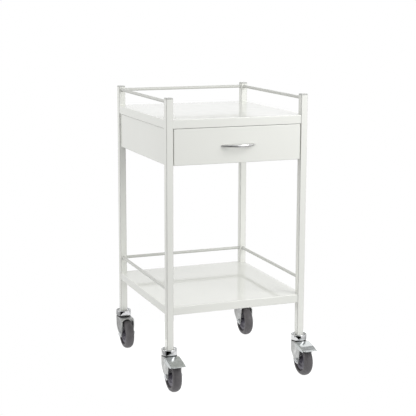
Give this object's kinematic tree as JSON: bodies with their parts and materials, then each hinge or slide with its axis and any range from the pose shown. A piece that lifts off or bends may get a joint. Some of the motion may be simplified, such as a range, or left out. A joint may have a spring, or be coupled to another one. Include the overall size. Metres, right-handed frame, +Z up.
{
  "type": "rolling salon trolley",
  "caption": "White powder-coated trolley on swivel castors, with railed upper and lower shelves and a telescoping drawer under the upper one.",
  "frame": {"origin": "on the floor, under the centre of the whole footprint, castors trailing to the front", "axes": "+Z up, -Y towards the drawer front, +X to the right of someone facing the drawer from -Y"},
  "size_m": [0.4986, 0.5914, 0.9],
  "materials": {
    "powder_coat": "smooth off-white powder coat, semi-gloss",
    "cap_plastic": "off-white moulded end cap",
    "chrome": "polished chrome plate",
    "bright_steel": "bright zinc plate on pressed steel",
    "zinc_plate": "zinc plate",
    "tyre_rubber": "dark grey thermoplastic rubber",
    "core_plastic": "dark grey polypropylene",
    "black_plastic": "black moulded plastic"
  },
  "bodies": {
    "frame": {"front_left_post": "powder_coat", "front_left_cap": "cap_plastic", "front_left_stem_socket": "black_plastic", "front_left_castor_head": "chrome", "front_right_post": "powder_coat", "front_right_cap": "cap_plastic", "front_right_stem_socket": "black_plastic", "front_right_castor_head": "chrome", "back_left_post": "powder_coat", "back_left_cap": "cap_plastic", "back_left_stem_socket": "black_plastic", "back_left_castor_head": "chrome", "back_right_post": "powder_coat", "back_right_cap": "cap_plastic", "back_right_stem_socket": "black_plastic", "back_right_castor_head": "chrome", "top_shelf": "powder_coat", "top_rail_back": "powder_coat", "top_rail_left": "powder_coat", "top_rail_right": "powder_coat", "bottom_shelf": "powder_coat", "bottom_rail_back": "powder_coat", "bottom_rail_left": "powder_coat", "bottom_rail_right": "powder_coat", "back_panel": "powder_coat", "side_panel_left": "powder_coat", "side_panel_right": "powder_coat", "runner_outer_left": "zinc_plate", "runner_outer_right": "zinc_plate"},
    "drawer": {"drawer_tray": "powder_coat", "drawer_front": "powder_coat", "drawer_handle": "chrome", "handle_screw_left": "zinc_plate", "handle_screw_right": "zinc_plate", "runner_inner_left": "zinc_plate", "runner_inner_right": "zinc_plate"},
    "left_middle_runner": {"runner_middle_left": "zinc_plate"},
    "right_middle_runner": {"runner_middle_right": "zinc_plate"},
    "front_left_swivel": {"front_left_fork": "bright_steel", "front_left_swivel_race": "black_plastic", "front_left_axle_bolt": "zinc_plate"},
    "front_left_wheel": {"front_left_tyre": "tyre_rubber", "front_left_wheel_core": "core_plastic"},
    "front_left_brake": {"front_left_brake_pedal": "chrome"},
    "front_right_swivel": {"front_right_fork": "bright_steel", "front_right_swivel_race": "black_plastic", "front_right_axle_bolt": "zinc_plate"},
    "front_right_wheel": {"front_right_tyre": "tyre_rubber", "front_right_wheel_core": "core_plastic"},
    "front_right_brake": {"front_right_brake_pedal": "chrome"},
    "back_left_swivel": {"back_left_fork": "bright_steel", "back_left_swivel_race": "black_plastic", "back_left_axle_bolt": "zinc_plate"},
    "back_left_wheel": {"back_left_tyre": "tyre_rubber", "back_left_wheel_core": "core_plastic"},
    "back_right_swivel": {"back_right_fork": "bright_steel", "back_right_swivel_race": "black_plastic", "back_right_axle_bolt": "zinc_plate"},
    "back_right_wheel": {"back_right_tyre": "tyre_rubber", "back_right_wheel_core": "core_plastic"}
  },
  "joints": [
    {"name": "drawer_slide", "type": "slide", "parent": "frame", "child": "drawer", "axis": [0, -1, 0], "range_m": [0, 0.4]},
    {"name": "left_runner_slide", "type": "slide", "parent": "frame", "child": "left_middle_runner", "axis": [0, -1, 0], "range_m": [0, 0.2]},
    {"name": "right_runner_slide", "type": "slide", "parent": "frame", "child": "right_middle_runner", "axis": [0, -1, 0], "range_m": [0, 0.2]},
    {"name": "front_left_swivel_turn", "type": "hinge", "parent": "frame", "child": "front_left_swivel", "pos_m": [-0.2215, -0.20225, 0.107], "axis": [0, 0, 1], "continuous": true},
    {"name": "front_left_wheel_roll", "type": "hinge", "parent": "front_left_swivel", "child": "front_left_wheel", "pos_m": [-0.2215, -0.23675, 0.05], "axis": [1, 0, 0], "continuous": true},
    {"name": "front_left_brake_press", "type": "hinge", "parent": "front_left_swivel", "child": "front_left_brake", "pos_m": [-0.2215, -0.22925, 0.099], "axis": [1, 0, 0], "range_deg": [0, 6]},
    {"name": "front_right_swivel_turn", "type": "hinge", "parent": "frame", "child": "front_right_swivel", "pos_m": [0.2215, -0.20225, 0.107], "axis": [0, 0, 1], "continuous": true},
    {"name": "front_right_wheel_roll", "type": "hinge", "parent": "front_right_swivel", "child": "front_right_wheel", "pos_m": [0.2215, -0.23675, 0.05], "axis": [1, 0, 0], "continuous": true},
    {"name": "front_right_brake_press", "type": "hinge", "parent": "front_right_swivel", "child": "front_right_brake", "pos_m": [0.2215, -0.22925, 0.099], "axis": [1, 0, 0], "range_deg": [0, 6]},
    {"name": "back_left_swivel_turn", "type": "hinge", "parent": "frame", "child": "back_left_swivel", "pos_m": [-0.2215, 0.27075, 0.107], "axis": [0, 0, 1], "continuous": true},
    {"name": "back_left_wheel_roll", "type": "hinge", "parent": "back_left_swivel", "child": "back_left_wheel", "pos_m": [-0.2215, 0.23625, 0.05], "axis": [1, 0, 0], "continuous": true},
    {"name": "back_right_swivel_turn", "type": "hinge", "parent": "frame", "child": "back_right_swivel", "pos_m": [0.2215, 0.27075, 0.107], "axis": [0, 0, 1], "continuous": true},
    {"name": "back_right_wheel_roll", "type": "hinge", "parent": "back_right_swivel", "child": "back_right_wheel", "pos_m": [0.2215, 0.23625, 0.05], "axis": [1, 0, 0], "continuous": true}
  ],
  "couplings": [
    {"joint": "left_runner_slide", "follows": "drawer_slide", "ratio": 0.5},
    {"joint": "right_runner_slide", "follows": "drawer_slide", "ratio": 0.5}
  ]
}
